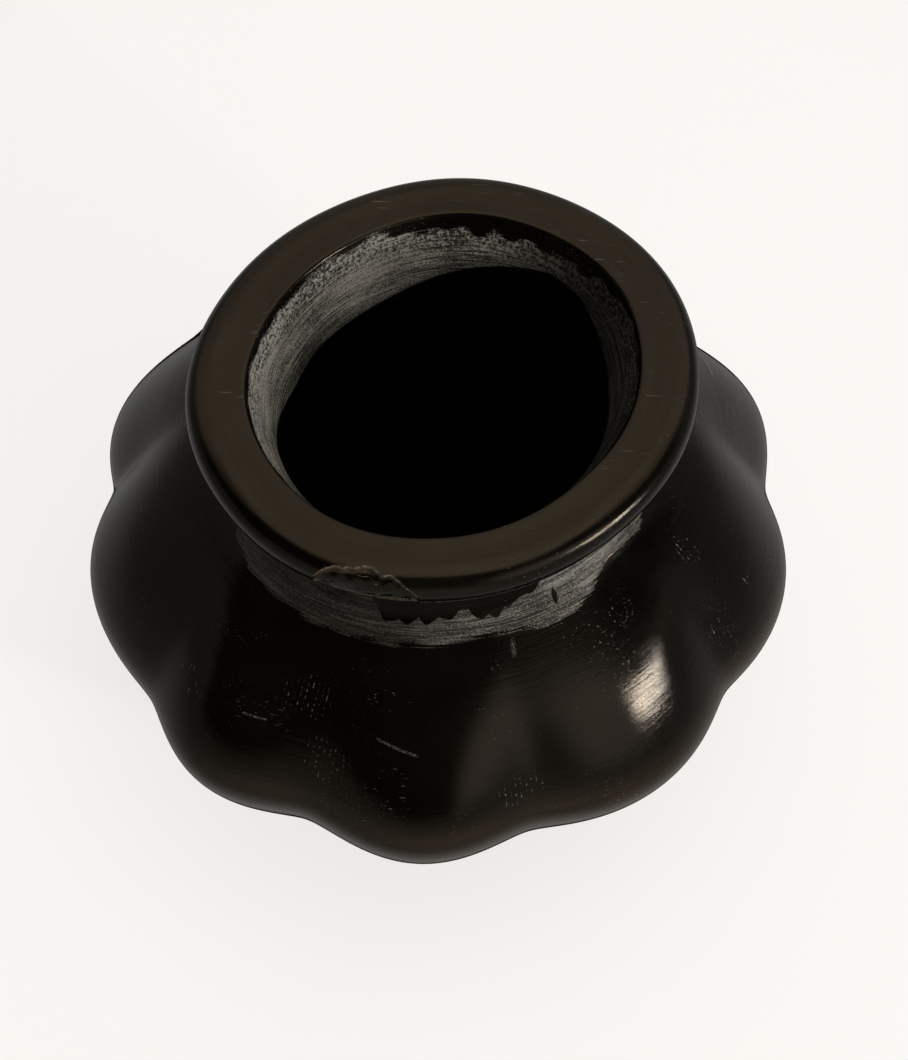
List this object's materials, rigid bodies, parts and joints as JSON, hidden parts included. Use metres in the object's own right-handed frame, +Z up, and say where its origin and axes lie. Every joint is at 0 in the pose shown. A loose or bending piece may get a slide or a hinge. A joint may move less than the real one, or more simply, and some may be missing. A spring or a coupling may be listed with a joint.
{
  "type": "pueblo pottery jar",
  "caption": "Squat black burnished pottery jar with a softly lobed melon belly, short waisted neck and broad flat rim round an open mouth; stands on a flat foot and holds small dry things.",
  "frame": {"origin": "middle of the flat foot, on the jar's axis", "axes": "+Z up along the jar's axis, -Y towards the side that shows in front in the picture, +X to its right"},
  "size_m": [0.1286, 0.1309, 0.096],
  "materials": {
    "burnished_body": "stone burnished, smoke blackened",
    "scraped_neck": "wiped and left unpolished, smoke blackened",
    "burnished_rim": "stone burnished, a little worn"
  },
  "bodies": {
    "root": {"base_pat": "burnished_body", "wall_coil_1": "burnished_body", "wall_coil_2": "burnished_body", "wall_coil_3": "burnished_body", "wall_coil_4": "burnished_body", "wall_coil_5": "burnished_body", "neck_coil": "scraped_neck", "rim_coil": "burnished_rim"}
  },
  "joints": []
}
